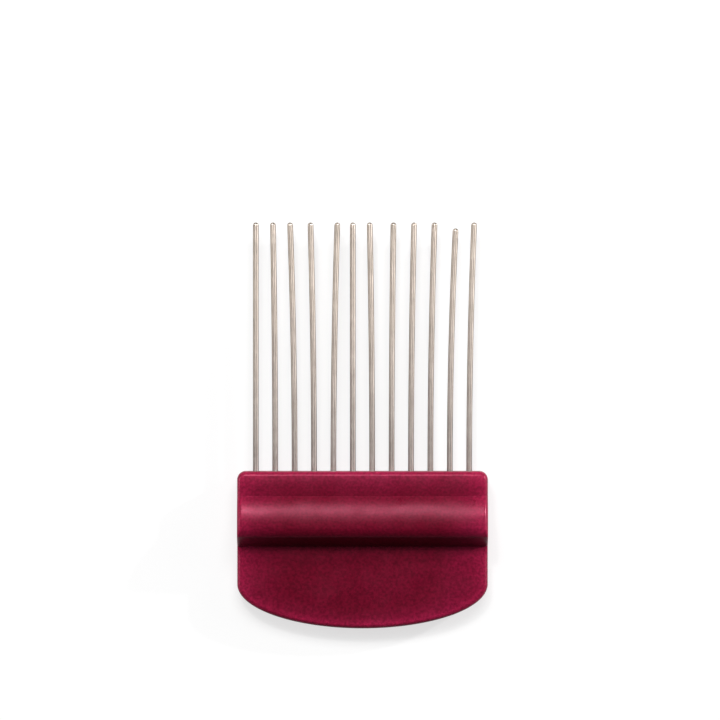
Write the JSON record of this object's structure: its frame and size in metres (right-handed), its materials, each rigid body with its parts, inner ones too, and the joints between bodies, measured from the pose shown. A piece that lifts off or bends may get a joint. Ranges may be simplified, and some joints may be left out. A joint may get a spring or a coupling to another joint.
{
  "type": "quilling comb",
  "caption": "Craft comb for looping paper strips: a row of long round steel needles in a ridged plastic handle with a bowed end.",
  "frame": {"origin": "middle of the handle's flat back face", "axes": "+Y along the needles towards their tips, +Z out of the face that the fingers hold, +X to the right in the picture"},
  "size_m": [0.06, 0.0972, 0.0102],
  "materials": {
    "handle_plastic": "moulded burgundy plastic, soft gloss",
    "needle_steel": "drawn wire, warm grey, polished tips"
  },
  "bodies": {
    "root": {"handle": "handle_plastic", "needle_01": "needle_steel", "needle_02": "needle_steel", "needle_03": "needle_steel", "needle_04": "needle_steel", "needle_05": "needle_steel", "needle_06": "needle_steel", "needle_07": "needle_steel", "needle_08": "needle_steel", "needle_09": "needle_steel", "needle_10": "needle_steel", "needle_11": "needle_steel", "needle_12": "needle_steel"}
  },
  "joints": []
}
